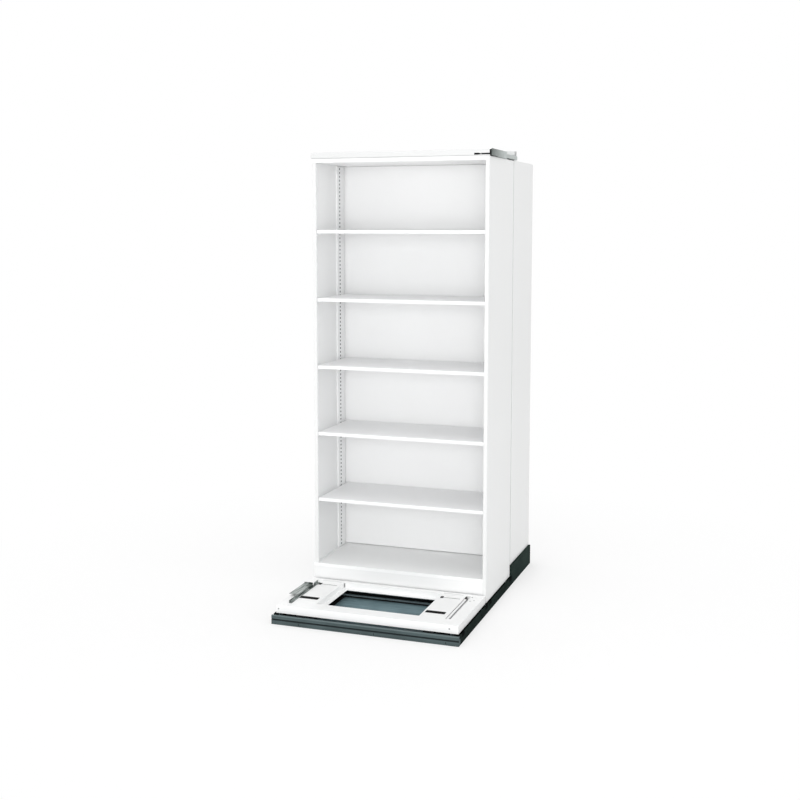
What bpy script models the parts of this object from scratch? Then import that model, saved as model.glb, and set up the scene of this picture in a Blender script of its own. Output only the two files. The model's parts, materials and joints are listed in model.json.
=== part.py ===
"""Compact mobile shelving: a floor base, a fixed rear cabinet, a middle cabinet that rolls sideways
and a low front carriage that rolls sideways. Metres, +Z up, the front faces -Y."""
import math

import bmesh
import bpy
from mathutils import Vector

# Rows, widths and heights
cabinet_width = 0.908
side_margin = 0.0105
front_margin = 0.033
carriage_depth = 0.459
middle_depth = 0.470
rear_depth = 0.422
row_gap = 0.010
base_height = 0.0435
plinth_height = 0.1045
carriage_bottom = 0.046
carriage_height = 0.0385
cabinet_top = 2.212
rear_cabinet_rise = 0.002
seat_gap = 0.0003

# Cabinet sheet metal
rear_recess = 0.050
back_margin = 0.015
side_thickness = 0.018
side_return = 0.012
rear_return = 0.0024
panel_sheet = 0.0012
top_height = 0.017
left_projection = 0.008
back_fold = 0.012
back_lip = 0.008

# Shelves
shelf_count = 5
slot_pitch = 0.020
shelf_lip = 0.016
shelf_return = 0.012
shelf_sheet = 0.0012
bottom_shelf_level = 0.1625
kick_gap = 0.006
kick_step = 0.0015
kick_foot_lip = 0.020
shelf_front_setback = 0.005
shelf_back_gap = 0.004
shelf_end_gap = 0.002

# Slotted uprights and their clips
upright_proud = 0.0085
front_upright_proud = 0.006
rear_upright_width = 0.092
rear_upright_back_gap = 0.017
front_upright_start = 0.016
front_upright_width = 0.034
upright_end_gap = 0.003
slot_width = 0.012
slot_height = 0.009
rear_slot_setback = 0.036
front_slot_setback = 0.017
clip_width = 0.010
clip_height = 0.006
clip_bite = 0.0006

# Rear cabinet posts
post_width = 0.040
post_front_setback = 0.022
post_rear_setback = 0.030

# Floor base
bar_depth = 0.026
bar_lip_depth = 0.010
bar_step_drop = 0.0135
bar_sheet = 0.003
bar_groove_level = 0.025
bar_groove_height = 0.003
bar_groove_depth = 0.003
bar_edge = 0.003
side_plate_sheet = 0.0025
side_plate_flange = 0.012
side_plate_lip = 0.005
joining_hole_radius = 0.0045
joining_hole_level = 0.024
joining_hole_count = 4
floor_sheet = 0.0015
deck_level = 0.014
deck_sheet = 0.0015
deck_lip = 0.012
deck_rail_gap = 0.002
plinth_sheet = 0.002
plinth_lip = 0.030

# Rails and their stops
rail_width = 0.040
rail_shoulder = 0.016
rail_top = 0.022
rail_head_width = 0.012
rail_sheet = 0.0025
stop_thickness = 0.005
stop_width = 0.030
stop_top = 0.036
stop_bite = 0.001
stop_gap = 0.002
travel = 0.075

# Carriage frames
carriage_sheet = 0.002
carriage_side_inset = 0.001
front_beam_width = 0.077
rear_beam_width = 0.031
left_rim_width = 0.048
right_rim_width = 0.062
ledge_level = 0.057
ledge_width = 0.030
bearing_width = 0.024
bearing_wall = 0.004
bearing_thickness = 0.014
bearing_bite = 0.001
middle_carriage_setback = 0.006
middle_carriage_rear_setback = 0.005

# Wheel boxes
box_width = 0.127
box_foot = 0.030
box_sheet = 0.0015
right_box_inset = 0.215
box_slot_start = 0.0095
box_slot_length = 0.0965
box_slot_width = 0.025
box_slot_setback = 0.0595
box_hole_start = 0.0150
box_hole_width = 0.009
box_hole_depth = 0.020
box_hole_rear_setback = 0.045
box_slit_length = 0.086
box_slit_width = 0.004
corner_slit_width = 0.006

# Wheel sets
wheel_radius = 0.0255
wheel_bore_gap = 0.00035
flange_height = 0.003
tread_width = 0.0135
flange_width = 0.0033
rear_wheel_width = 0.015
wheel_edge = 0.0012
shaft_radius = 0.005
shaft_edge = 0.001
bearing_gap = 0.0004
shaft_overrun = 0.004
wheel_sides = 16

# Zinc plated joining bracket on the front carriage
bracket_setback = 0.044
bracket_rear_setback = 0.067
bracket_inset = 0.0464
bracket_foot = 0.0135
bracket_height = 0.013
bracket_sheet = 0.002
bracket_plate_width = 0.044
bracket_plate_setback = 0.099
bracket_plate_rear_setback = 0.066
bracket_flange_height = 0.005
bracket_notch_length = 0.014

# Strip along the top of the middle cabinet
strip_height = 0.031
strip_depth = 0.014
strip_sheet = 0.0015
strip_step = 0.0042
strip_foot_inset = 0.006
strip_slot_length = 0.075
strip_slot_height = 0.007
strip_slot_level = 0.0062

# Guide arm, roller and the rail on the rear cabinet
arm_width = 0.053
arm_overhang = 0.008
arm_height = 0.0355
arm_sheet = 0.003
arm_setback = 0.016
arm_rear_setback = 0.170
tongue_level = 0.0055
tongue_height = 0.019
tongue_overlap = 0.060
tongue_bite = 0.0005
tongue_tip_gap = 0.006
plate_reach = 0.138
plate_start_gap = 0.023
roller_inset = 0.100
roller_height = 0.019
roller_side_gap = 0.0008
roller_end_gap = 0.001
roller_edge = 0.001
pin_radius = 0.004
guide_rail_setback = 0.005
guide_rail_width = 0.045
guide_rail_height = 0.048
guide_rail_sheet = 0.002
guide_lip_height = 0.021

# Shared small values
cut_overrun = 0.005
hole_sides = 12

# Colours: linear red, green and blue
white_paint = (0.80, 0.80, 0.80)
shade_white_paint = (0.74, 0.74, 0.75)
dark_paint = (0.016, 0.024, 0.022)
bar_paint = (0.070, 0.087, 0.092)
deck_paint = (0.115, 0.135, 0.150)
zinc_grey = (0.42, 0.45, 0.44)
steel_grey = (0.45, 0.45, 0.46)
roller_grey = (0.10, 0.10, 0.10)

# Places worked out from the sizes above
base_width = cabinet_width + 2 * side_margin
base_depth = (front_margin + carriage_depth + row_gap + middle_depth + row_gap + rear_depth)
front_y = -base_depth / 2
carriage_y = front_y + front_margin
middle_y = carriage_y + carriage_depth + row_gap
rear_y = middle_y + middle_depth + row_gap
back_y = base_depth / 2
half_cabinet = cabinet_width / 2
half_base = base_width / 2
carriage_top = carriage_bottom + carriage_height
rear_cabinet_top = cabinet_top + rear_cabinet_rise
body_depth = middle_depth - rear_recess
back_setting = body_depth - back_margin
inner_height = cabinet_top - top_height - bottom_shelf_level
slots_per_shelf = round(inner_height / (shelf_count + 1) / slot_pitch)
shelf_spacing = slot_pitch * slots_per_shelf
wheel_axis_level = rail_top + seat_gap + wheel_radius


def clear_scene():
    for item in list(bpy.data.objects):
        bpy.data.objects.remove(item, do_unlink=True)


def make_material(name, colour, roughness, metallic):
    material = bpy.data.materials.new(name)
    material.use_nodes = True
    shader = material.node_tree.nodes["Principled BSDF"]
    shader.inputs["Base Color"].default_value = (*colour, 1)
    shader.inputs["Roughness"].default_value = roughness
    shader.inputs["Metallic"].default_value = metallic
    material.diffuse_color = (*colour, 1)
    return material


def make_materials():
    return {
        "white": make_material("white_paint", white_paint, 0.45, 0.0),
        "shelf": make_material("shelf_paint", shade_white_paint, 0.45, 0.0),
        "dark": make_material("dark_paint", dark_paint, 0.5, 0.0),
        "bar": make_material("bar_paint", bar_paint, 0.5, 0.0),
        "deck": make_material("deck_paint", deck_paint, 0.5, 0.0),
        "zinc": make_material("zinc_plate", zinc_grey, 0.35, 1.0),
        "steel": make_material("bright_steel", steel_grey, 0.3, 1.0),
        "roller": make_material("roller_plastic", roller_grey, 0.5, 0.0),
    }


def finish_object(name, mesh_builder, material, origin=(0, 0, 0)):
    """Turns a bmesh in world places into an object whose origin is at the given point."""
    mesh_builder.normal_update()
    bmesh.ops.triangulate(mesh_builder, faces=[face for face in mesh_builder.faces if len(face.verts) > 4])
    bmesh.ops.recalc_face_normals(mesh_builder, faces=mesh_builder.faces)
    bmesh.ops.translate(mesh_builder, verts=mesh_builder.verts, vec=-Vector(origin))
    mesh = bpy.data.meshes.new(name)
    mesh_builder.to_mesh(mesh)
    mesh_builder.free()
    item = bpy.data.objects.new(name, mesh)
    item.location = origin
    bpy.context.scene.collection.objects.link(item)
    if material:
        mesh.materials.append(material)
    return item


def place(axis, u, v, w):
    """A point from its two coordinates across an axis and the one along it."""
    if axis == "x":
        return Vector((w, u, v))
    if axis == "y":
        return Vector((u, w, v))
    return Vector((u, v, w))


def grow(rectangle, amount):
    u0, u1, v0, v1 = rectangle
    return (u0 - amount, u1 + amount, v0 - amount, v1 + amount)


def rectangle_stack(name, axis, sections, material, closed=False):
    """Joins rectangles, each with its level along the axis, into one solid. A closed stack is a ring."""
    mesh_builder = bmesh.new()
    rings = []
    for (u0, u1, v0, v1), level in sections:
        corners = ((u0, v0), (u1, v0), (u1, v1), (u0, v1))
        rings.append([mesh_builder.verts.new(place(axis, u, v, level)) for u, v in corners])
    pairs = list(zip(rings, rings[1:]))
    if closed:
        pairs.append((rings[-1], rings[0]))
    else:
        mesh_builder.faces.new(rings[0])
        mesh_builder.faces.new(rings[-1])
    for lower, upper in pairs:
        for i in range(4):
            j = (i + 1) % 4
            mesh_builder.faces.new((lower[i], lower[j], upper[j], upper[i]))
    return finish_object(name, mesh_builder, material)


def block(name, x_range, y_range, z_range, material=None):
    rectangle = (*x_range, *y_range)
    return rectangle_stack(name, "z", [(rectangle, z_range[0]), (rectangle, z_range[1])], material)


def tray(name, axis, rectangle, face, open_edge, sheet, lip, material):
    """A folded panel: a flat face, four walls and a lip turned in along the open side."""
    inward = sheet if open_edge > face else -sheet
    sections = [
        (rectangle, face),
        (rectangle, open_edge),
        (grow(rectangle, -lip), open_edge),
        (grow(rectangle, -lip), open_edge - inward),
        (grow(rectangle, -sheet), open_edge - inward),
        (grow(rectangle, -sheet), face + inward),
    ]
    return rectangle_stack(name, axis, sections, material)


def folded_outline(path, sheet):
    """The closed outline of a sheet folded square along a path, its thickness to the path's left."""
    points = [Vector(point) for point in path]
    sides = []
    for start, end in zip(points, points[1:]):
        along = (end - start).normalized()
        sides.append(Vector((-along.y, along.x)) * sheet)
    shifts = [sides[0]] + [before + after for before, after in zip(sides, sides[1:])] + [sides[-1]]
    return points + [point + shift for point, shift in zip(points, shifts)][::-1]


def extrude_outline(name, axis, outline, start, end, material):
    """A straight length of a closed outline, drawn across the axis."""
    mesh_builder = bmesh.new()
    first = [mesh_builder.verts.new(place(axis, u, v, start)) for u, v in outline]
    last = [mesh_builder.verts.new(place(axis, u, v, end)) for u, v in outline]
    mesh_builder.faces.new(first)
    mesh_builder.faces.new(last[::-1])
    for i in range(len(outline)):
        j = (i + 1) % len(outline)
        mesh_builder.faces.new((first[i], first[j], last[j], last[i]))
    return finish_object(name, mesh_builder, material)


def revolve(name, axis, centre, profile, sides, material, closed):
    """Turns a profile of (radius, place along the axis) about an axis through the centre."""
    mesh_builder = bmesh.new()
    rings = []
    for radius, along in profile:
        ring = []
        for i in range(sides):
            angle = 2 * math.pi * i / sides
            offset = place(axis, radius * math.cos(angle), radius * math.sin(angle), along)
            ring.append(mesh_builder.verts.new(Vector(centre) + offset))
        rings.append(ring)
    pairs = list(zip(rings, rings[1:]))
    if closed:
        pairs.append((rings[-1], rings[0]))
    else:
        mesh_builder.faces.new(rings[0])
        mesh_builder.faces.new(rings[-1])
    for lower, upper in pairs:
        for i in range(sides):
            j = (i + 1) % sides
            mesh_builder.faces.new((lower[i], lower[j], upper[j], upper[i]))
    item = finish_object(name, mesh_builder, material, centre)
    item.data.shade_smooth()
    item.data.set_sharp_from_angle(angle=math.radians(35))
    return item


def combine(item, other, operation):
    """Adds a solid to an item or cuts it away. The other solid stays as a guide that isn't rendered."""
    other.hide_render = True
    other.display_type = "WIRE"
    modifier = item.modifiers.new(f"{operation.lower()}_{other.name}", "BOOLEAN")
    modifier.operation = operation
    modifier.object = other
    modifier.solver = "EXACT"


def add(item, other):
    combine(item, other, "UNION")


def cut(item, other):
    combine(item, other, "DIFFERENCE")


def make_front_bar(materials):
    """The grooved bar: a narrow lip over a wider foot that is hollow from the back, with closed ends."""
    front = front_y
    back = front_y + bar_depth
    lip = front_y + bar_lip_depth
    step = base_height - bar_step_drop
    low = bar_groove_level - bar_groove_height / 2
    high = bar_groove_level + bar_groove_height / 2
    outline = [
        (front, 0), (front, low), (front + bar_groove_depth, low), (front + bar_groove_depth, high),
        (front, high), (front, base_height - bar_edge), (front + bar_edge, base_height),
        (lip, base_height), (lip, step), (back, step), (back, 0),
    ]
    bar = extrude_outline("front_bar", "x", outline, -half_base, half_base, materials["bar"])
    reach = half_base - bar_sheet
    y_range = (front + bar_groove_depth + bar_sheet, back + cut_overrun)
    cut(bar, block("front_bar_hollow", (-reach, reach), y_range, (bar_sheet, step - bar_sheet)))


def make_side_plate(name, side, materials):
    """A channel along one end of the base, open inwards, with holes for joining the next bay."""
    outer = side * half_base
    web = outer - side * side_plate_sheet
    foot = outer - side * side_plate_flange
    lip = outer - side * side_plate_lip
    low = side_plate_sheet
    high = base_height - side_plate_sheet
    outline = [(foot, 0), (outer, 0), (outer, base_height), (lip, base_height),
               (lip, high), (web, high), (web, low), (foot, low)]
    start = front_y + bar_depth + seat_gap
    end = rear_y - seat_gap
    plate = extrude_outline(name, "y", outline, start, end, materials["dark"])
    spacing = (end - start) / joining_hole_count
    for i in range(joining_hole_count):
        centre = (outer, start + (i + 0.5) * spacing, joining_hole_level)
        profile = [(joining_hole_radius, -side_plate_flange / 2), (joining_hole_radius, side_plate_flange / 2)]
        cut(plate, revolve(f"{name}_hole_{i}", "x", centre, profile, hole_sides, None, False))


def make_floor(rail_places, materials):
    """The floor sheet, and a deck between each row's two rails."""
    reach = half_base - side_plate_flange - seat_gap
    start = front_y + bar_depth + seat_gap
    block("floor_pan", (-reach, reach), (start, rear_y - seat_gap), (0, floor_sheet), materials["deck"])
    for name, (first, second) in zip(("deck_front", "deck_middle"), rail_places):
        rectangle = (-reach, reach, first + rail_width / 2 + deck_rail_gap, second - rail_width / 2 - deck_rail_gap)
        bottom = floor_sheet + seat_gap
        tray(name, "z", rectangle, deck_level, bottom, deck_sheet, deck_lip, materials["deck"])


def make_rail(name, centre_y, wheel_places, reach_radius, materials):
    """A pressed rail with a raised head and a stop at each end of the carriage's travel."""
    bottom = floor_sheet + seat_gap
    half = rail_width / 2
    head = rail_head_width / 2
    path = [(centre_y - half, bottom), (centre_y - half, rail_shoulder), (centre_y - head, rail_shoulder),
            (centre_y - head, rail_top), (centre_y + head, rail_top), (centre_y + head, rail_shoulder),
            (centre_y + half, rail_shoulder), (centre_y + half, bottom)]
    outline = folded_outline(path, -rail_sheet)
    reach = half_base - side_plate_flange - seat_gap
    rail = extrude_outline(name, "x", outline, -reach, reach, materials["deck"])
    clear = reach_radius + travel + stop_gap
    left = min(wheel_places) - clear
    right = max(wheel_places) + clear
    y_range = (centre_y - stop_width / 2, centre_y + stop_width / 2)
    z_range = (rail_shoulder - stop_bite, stop_top)
    add(rail, block(f"{name}_stop_left", (left - stop_thickness, left), y_range, z_range))
    add(rail, block(f"{name}_stop_right", (right, right + stop_thickness), y_range, z_range))


def make_plinth(materials):
    rectangle = (-half_base, half_base, rear_y, back_y)
    tray("plinth", "z", rectangle, plinth_height, 0, plinth_sheet, plinth_lip, materials["dark"])


def shelf_levels():
    """The height of each adjustable shelf's top face, from the top one down."""
    return [bottom_shelf_level + shelf_spacing * (shelf_count - i) for i in range(shelf_count)]


def make_shelf(name, front, level, depth, materials):
    reach = half_cabinet - side_thickness - shelf_end_gap
    rectangle = (-reach, reach, front + shelf_front_setback, front + depth)
    tray(name, "z", rectangle, level, level - shelf_lip, shelf_sheet, shelf_return, materials["shelf"])


def make_side_panel(name, side, y_range, z_range, materials):
    """A side panel, open inwards, with a return along its front edge and a narrow one round the rest."""
    outer = side * half_cabinet
    inner = side * (half_cabinet - side_thickness)
    sheet = side * panel_sheet
    rectangle = (*y_range, *z_range)
    opening = (y_range[0] + side_return, y_range[1] - rear_return,
               z_range[0] + rear_return, z_range[1] - rear_return)
    sections = [(rectangle, outer), (rectangle, inner), (opening, inner), (opening, inner + sheet),
                (grow(rectangle, -panel_sheet), inner + sheet), (grow(rectangle, -panel_sheet), outer - sheet)]
    return rectangle_stack(name, "x", sections, materials["white"])


def slotted_upright(name, side, y_range, z_range, proud, slot_y, material):
    """A folded post, open to the side panel, whose face has a slot at each step of the shelf height.

    The face is split at every shelf spacing, so its triangles stay short.
    """
    backing = side * (half_cabinet - panel_sheet - seat_gap)
    face = backing - side * proud
    inside = face + side * panel_sheet
    near, far = y_range
    bottom, top = z_range
    outline = [(backing, near), (face, near), (face, far), (backing, far),
               (backing, far - panel_sheet), (inside, far - panel_sheet),
               (inside, near + panel_sheet), (backing, near + panel_sheet)]
    slots = math.floor((top - bottom) / slot_pitch)
    first = bottom + (top - bottom - (slots - 1) * slot_pitch) / 2
    modules = max(1, round(slots / slots_per_shelf))
    breaks = [round(slots * i / modules) for i in range(modules + 1)]
    levels = [bottom] + [first + (count - 0.5) * slot_pitch for count in breaks[1:-1]] + [top]
    mesh_builder = bmesh.new()
    rings = [[mesh_builder.verts.new((x, y, level)) for x, y in outline] for level in levels]
    mesh_builder.faces.new(rings[0])
    mesh_builder.faces.new(rings[-1])
    pierced = {1: face, 5: inside}
    for lower, upper in zip(rings, rings[1:]):
        for i in range(len(outline)):
            j = (i + 1) % len(outline)
            if i not in pierced:
                mesh_builder.faces.new((lower[i], lower[j], upper[j], upper[i]))
    for module, (lower, upper) in enumerate(zip(rings, rings[1:])):
        centres = [first + i * slot_pitch for i in range(breaks[module], breaks[module + 1])]
        edges = {}
        for index, x in pierced.items():
            columns = []
            for y in (slot_y - slot_width / 2, slot_y + slot_width / 2):
                column = []
                for centre in centres:
                    for z in (centre - slot_height / 2, centre + slot_height / 2):
                        column.append(mesh_builder.verts.new((x, y, z)))
                columns.append(column)
            ends = [index, index + 1]
            if outline[index][1] > outline[index + 1][1]:
                ends.reverse()
            pierced_face(mesh_builder, lower, upper, ends, columns)
            edges[index] = columns
        outer_columns, inner_columns = edges[1], edges[5]
        for i in range(0, 2 * len(centres), 2):
            loop = (outer_columns[0][i], outer_columns[1][i], outer_columns[1][i + 1], outer_columns[0][i + 1])
            back = (inner_columns[0][i], inner_columns[1][i], inner_columns[1][i + 1], inner_columns[0][i + 1])
            for k in range(4):
                m = (k + 1) % 4
                mesh_builder.faces.new((loop[k], loop[m], back[m], back[k]))
    return finish_object(name, mesh_builder, material)


def pierced_face(mesh_builder, lower, upper, ends, columns):
    """Fills one module of a flat face round its slots: a fan at each side and a web between slots."""
    near, far = columns
    near_low, far_low = lower[ends[0]], lower[ends[1]]
    near_high, far_high = upper[ends[0]], upper[ends[1]]
    mesh_builder.faces.new((near_low, far_low, far[0], near[0]))
    mesh_builder.faces.new((near_high, far_high, far[-1], near[-1]))
    for i in range(1, len(near) - 1, 2):
        mesh_builder.faces.new((near[i], far[i], far[i + 1], near[i + 1]))
    for column, low, high in ((near, near_low, near_high), (far, far_low, far_high)):
        middle = len(column) // 2
        for i in range(middle):
            mesh_builder.faces.new((low, column[i], column[i + 1]))
        mesh_builder.faces.new((low, column[middle], high))
        for i in range(middle, len(column) - 1):
            mesh_builder.faces.new((high, column[i], column[i + 1]))


def add_clips(post, side, face, y_centre, levels):
    """A small tab under the end of each shelf."""
    tip = side * (half_cabinet - side_thickness - shelf_end_gap - clip_width)
    x_range = sorted((face + side * clip_bite, tip))
    for i, level in enumerate(levels):
        top = level - shelf_lip - seat_gap
        y_range = (y_centre - clip_width / 2, y_centre + clip_width / 2)
        add(post, block(f"{post.name}_clip_{i}", x_range, y_range, (top - clip_height, top)))


def make_uprights(front, z_range, materials):
    bottom = z_range[0] + upright_end_gap
    top = z_range[1] - upright_end_gap
    rear_start = back_setting - rear_upright_back_gap - rear_upright_width
    kinds = (
        ("front", front_upright_start, front_upright_width, front_upright_proud, front_slot_setback),
        ("rear", rear_start, rear_upright_width, upright_proud, rear_slot_setback),
    )
    for kind, start, width, proud, setback in kinds:
        for side, side_name in ((-1, "left"), (1, "right")):
            near = front + start
            post = slotted_upright(f"upright_{kind}_{side_name}", side, (near, near + width), (bottom, top),
                                   proud, near + setback, materials["shelf"])
            face = side * (half_cabinet - panel_sheet - seat_gap - proud)
            add_clips(post, side, face, near + setback, shelf_levels())


def make_middle_cabinet(materials):
    front = middle_y
    right = half_cabinet - side_thickness - seat_gap
    left = -half_cabinet - left_projection
    body = (left, right, front, front + body_depth)
    pan_top = bottom_shelf_level - shelf_lip - seat_gap
    top_bottom = cabinet_top - top_height
    kick_bottom = carriage_top + kick_gap
    foot_bottom = carriage_top + seat_gap
    foot = grow(body, -kick_step)
    foot_opening = grow(foot, -kick_foot_lip)
    sections = [
        (body, pan_top), (body, kick_bottom), (foot, kick_bottom), (foot, foot_bottom),
        (foot_opening, foot_bottom), (foot_opening, foot_bottom + panel_sheet),
        (grow(foot, -panel_sheet), foot_bottom + panel_sheet), (grow(foot, -panel_sheet), kick_bottom + panel_sheet),
        (grow(body, -panel_sheet), kick_bottom + panel_sheet), (grow(body, -panel_sheet), pan_top - panel_sheet),
    ]
    rectangle_stack("middle_base_pan", "z", sections, materials["white"])
    tray("middle_bottom_shelf", "z", body, bottom_shelf_level, bottom_shelf_level - shelf_lip,
         shelf_sheet, shelf_return, materials["white"])
    make_side_panel("middle_side_left", -1, (front, front + body_depth),
                    (bottom_shelf_level + seat_gap, top_bottom - seat_gap), materials)
    make_side_panel("middle_end_panel", 1, (front, front + middle_depth), (carriage_bottom, cabinet_top),
                    materials)
    tray("middle_top", "z", body, cabinet_top, top_bottom, panel_sheet, side_return, materials["white"])
    reach = half_cabinet - panel_sheet - seat_gap
    back = front + back_setting
    z_range = (bottom_shelf_level + upright_end_gap, top_bottom - upright_end_gap)
    tray("middle_back", "y", (-reach, reach, *z_range), back, back + back_fold, panel_sheet, back_lip,
         materials["white"])
    make_uprights(front, (bottom_shelf_level, top_bottom), materials)
    for i, level in enumerate(shelf_levels()):
        make_shelf(f"shelf_{i + 1}", front, level, back_setting - shelf_back_gap, materials)


def make_top_strip(materials):
    """The folded strip along the top front edge, with the arm's slot at its right end."""
    front = middle_y
    low = cabinet_top + seat_gap
    high = low + strip_height
    step = low + strip_step
    path = [(front + strip_depth, low), (front + strip_foot_inset, low), (front + strip_foot_inset, step),
            (front, step), (front, high), (front + strip_depth, high)]
    outline = folded_outline(path, -strip_sheet)
    left = -half_cabinet - left_projection
    strip = extrude_outline("top_strip", "x", outline, left, half_cabinet, materials["white"])
    slot_low = low + strip_slot_level
    cut(strip, block("top_strip_slot", (half_cabinet - strip_slot_length, half_cabinet + cut_overrun),
                     (front - cut_overrun, front + strip_sheet + cut_overrun),
                     (slot_low, slot_low + strip_slot_height)))


def make_rear_cabinet(materials):
    front = rear_y
    bottom = plinth_height + seat_gap
    inner = half_cabinet - side_thickness - seat_gap
    posts = (front + post_front_setback, front + rear_depth - post_rear_setback - post_width)
    for side, side_name in ((-1, "left"), (1, "right")):
        panel = make_side_panel(f"rear_side_{side_name}", side, (front, back_y), (bottom, rear_cabinet_top),
                                materials)
        for i, post_y in enumerate(posts):
            x_range = sorted((side * (half_cabinet - panel_sheet + clip_bite),
                              side * (half_cabinet - panel_sheet - upright_proud)))
            low = bottom_shelf_level + upright_end_gap
            high = rear_cabinet_top - top_height - upright_end_gap
            add(panel, block(f"{panel.name}_post_{i}", x_range, (post_y, post_y + post_width), (low, high)))
            face = side * (half_cabinet - panel_sheet - upright_proud)
            tip = side * (half_cabinet - side_thickness - shelf_end_gap - clip_width)
            clip_x = sorted((face + side * clip_bite, tip))
            clip_y = (post_y + post_width / 2 - clip_width / 2, post_y + post_width / 2 + clip_width / 2)
            for k, level in enumerate(shelf_levels()):
                clip_top = level - shelf_lip - seat_gap
                add(panel, block(f"{panel.name}_clip_{i}_{k}", clip_x, clip_y, (clip_top - clip_height, clip_top)))
    body = (-inner, inner, front, back_y)
    tray("rear_bottom_shelf", "z", body, bottom_shelf_level, bottom, shelf_sheet, shelf_return, materials["white"])
    tray("rear_top", "z", body, rear_cabinet_top, rear_cabinet_top - top_height, panel_sheet, side_return,
         materials["white"])
    back = back_y - back_fold - rear_return - seat_gap
    reach = half_cabinet - panel_sheet - seat_gap
    z_range = (bottom_shelf_level + upright_end_gap, rear_cabinet_top - top_height - upright_end_gap)
    tray("rear_back", "y", (-reach, reach, *z_range), back, back + back_fold, panel_sheet, back_lip,
         materials["white"])
    for i, level in enumerate(shelf_levels()):
        make_shelf(f"rear_shelf_{i + 1}", front, level, back - shelf_back_gap - front, materials)


def wheel_columns():
    """Where the two wheel boxes start, and the line of each shaft, across the bay."""
    starts = (-half_cabinet + carriage_side_inset + left_rim_width, half_cabinet - right_box_inset)
    return [(start, start + box_width / 2) for start in starts]


def wheel_rows(front, rear):
    """The places of the front and the rear wheels, which roll under the two beams."""
    return front + front_beam_width / 2, rear - rear_beam_width / 2


def make_carriage(name, front, rear, right, materials):
    """The rolling frame: a skirt, a flat rim, a wall and a ledge round the opening, and shaft bearings."""
    side = half_cabinet - carriage_side_inset
    outer = (-side, right, front, rear)
    wall = (-side + left_rim_width, side - right_rim_width, front + front_beam_width, rear - rear_beam_width)
    ledge = grow(wall, -ledge_width)
    ledge_top = ledge_level + carriage_sheet
    under_rim = carriage_top - carriage_sheet
    sections = [
        (outer, carriage_bottom), (outer, carriage_top), (wall, carriage_top), (wall, ledge_top),
        (ledge, ledge_top), (ledge, ledge_level), (grow(wall, carriage_sheet), ledge_level),
        (grow(wall, carriage_sheet), under_rim), (grow(outer, -carriage_sheet), under_rim),
        (grow(outer, -carriage_sheet), carriage_bottom),
    ]
    frame = rectangle_stack(name, "z", sections, materials["white"], closed=True)
    bore = shaft_radius + bearing_gap
    for k, (start, line) in enumerate(wheel_columns()):
        for m, middle in enumerate((wall[2] + ledge_width / 2, wall[3] - ledge_width / 2)):
            x_range = (line - bearing_width / 2, line + bearing_width / 2)
            y_range = (middle - bearing_thickness / 2, middle + bearing_thickness / 2)
            low = wheel_axis_level - bore - bearing_wall
            add(frame, block(f"{name}_bearing_{k}{m}", x_range, y_range, (low, ledge_level + bearing_bite)))
        profile = [(bore, -cut_overrun), (bore, wall[3] - wall[2] + cut_overrun)]
        cut(frame, revolve(f"{name}_bore_{k}", "y", (line, wall[2], wheel_axis_level), profile, wheel_sides,
                           None, False))
        x_range = (start + box_width, start + box_width + corner_slit_width)
        y_range = (wall[3] - cut_overrun, wall[3] + carriage_sheet + cut_overrun)
        cut(frame, block(f"{name}_corner_slit_{k}", x_range, y_range, (ledge_top + carriage_sheet, under_rim)))
    return wall


def make_wheel_boxes(prefix, wall, materials):
    """Two covers over the shafts, each with a long slot, a keyhole slit and a foot along its right side."""
    low = ledge_level + carriage_sheet + seat_gap
    for side_name, (start, line) in zip(("left", "right"), wheel_columns()):
        left = start + seat_gap
        right = start + box_width
        foot = min(right + box_foot, wall[1] - seat_gap)
        outline = [(left, low), (left, carriage_top), (right, carriage_top), (right, low + box_sheet),
                   (foot, low + box_sheet), (foot, low), (right - box_sheet, low),
                   (right - box_sheet, carriage_top - box_sheet), (left + box_sheet, carriage_top - box_sheet),
                   (left + box_sheet, low)]
        name = f"{prefix}_wheel_box_{side_name}"
        cover = extrude_outline(name, "y", outline, wall[2] + seat_gap, wall[3] - seat_gap, materials["white"])
        z_range = (carriage_top - cut_overrun, carriage_top + cut_overrun)
        slot_x = (start + box_slot_start, start + box_slot_start + box_slot_length)
        slot_y = (wall[2] + box_slot_setback, wall[2] + box_slot_setback + box_slot_width)
        cut(cover, block(f"{name}_slot", slot_x, slot_y, z_range))
        hole_x = (start + box_hole_start, start + box_hole_start + box_hole_width)
        hole_y = (wall[3] - box_hole_rear_setback - box_hole_depth, wall[3] - box_hole_rear_setback)
        cut(cover, block(f"{name}_hole", hole_x, hole_y, z_range))
        middle = (hole_y[0] + hole_y[1]) / 2
        slit_x = (hole_x[0] + box_hole_width / 2, hole_x[1] + box_slit_length)
        slit_y = (middle - box_slit_width / 2, middle + box_slit_width / 2)
        cut(cover, block(f"{name}_slit", slit_x, slit_y, z_range))


def make_wheel(name, line, row, flanged, materials):
    """A steel wheel on its shaft. The front ones have flanges that run beside the rail's head."""
    bore = shaft_radius + wheel_bore_gap
    half = tread_width / 2 if flanged else rear_wheel_width / 2
    rim = wheel_radius - wheel_edge
    if flanged:
        flange = wheel_radius + flange_height
        outside = half + flange_width
        profile = [(bore, -outside), (flange - wheel_edge, -outside), (flange, -half - wheel_edge),
                   (wheel_radius, -half), (wheel_radius, half), (flange, half + wheel_edge),
                   (flange - wheel_edge, outside), (bore, outside)]
    else:
        profile = [(bore, -half), (rim, -half), (wheel_radius, -half + wheel_edge),
                   (wheel_radius, half - wheel_edge), (rim, half), (bore, half)]
    revolve(name, "y", (line, row, wheel_axis_level), profile, wheel_sides, materials["steel"], True)


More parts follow.
